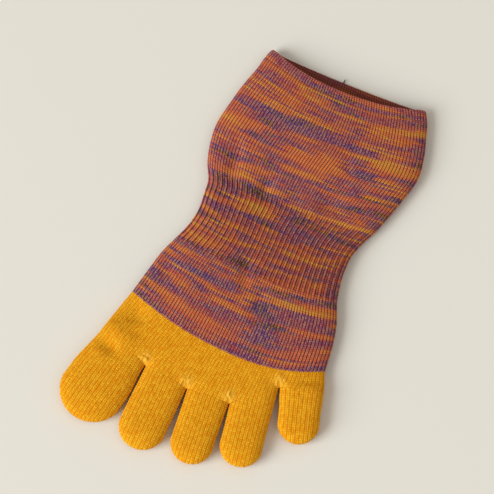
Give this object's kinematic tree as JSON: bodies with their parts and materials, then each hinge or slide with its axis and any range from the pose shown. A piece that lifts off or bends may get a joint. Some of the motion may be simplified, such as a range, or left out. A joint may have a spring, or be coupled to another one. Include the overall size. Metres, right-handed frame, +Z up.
{
  "type": "toe sock",
  "caption": "Knitted toe sock lying flat, with an open mouth, a multi-coloured leg and instep, a ribbed arch band and a mustard forefoot with a separate pocket for each toe",
  "frame": {"origin": "middle of the sock's plan, on the surface that it lies on", "axes": "+Y runs along the sock towards its open mouth, -Y towards the toes, +X towards the little toe's side, +Z up from the surface"},
  "size_m": [0.1224, 0.2088, 0.01],
  "materials": {
    "marl_knit": "plain knit of space-dyed cotton yarn in short streaks of orange, gold, rust and purple along the courses, matt and a little fuzzy",
    "marl_rib_knit": "one by one ribbed knit of the same space-dyed cotton yarn, with deep grooves along the sock",
    "mustard_knit": "plain knit of mustard yellow cotton yarn, matt and a little fuzzy"
  },
  "bodies": {
    "root": {"cuff_welt": "marl_knit", "leg": "marl_knit", "arch_rib": "marl_rib_knit", "instep": "marl_knit", "forefoot": "mustard_knit", "big_toe": "mustard_knit", "second_toe": "mustard_knit", "third_toe": "mustard_knit", "fourth_toe": "mustard_knit", "little_toe": "mustard_knit"}
  },
  "joints": []
}
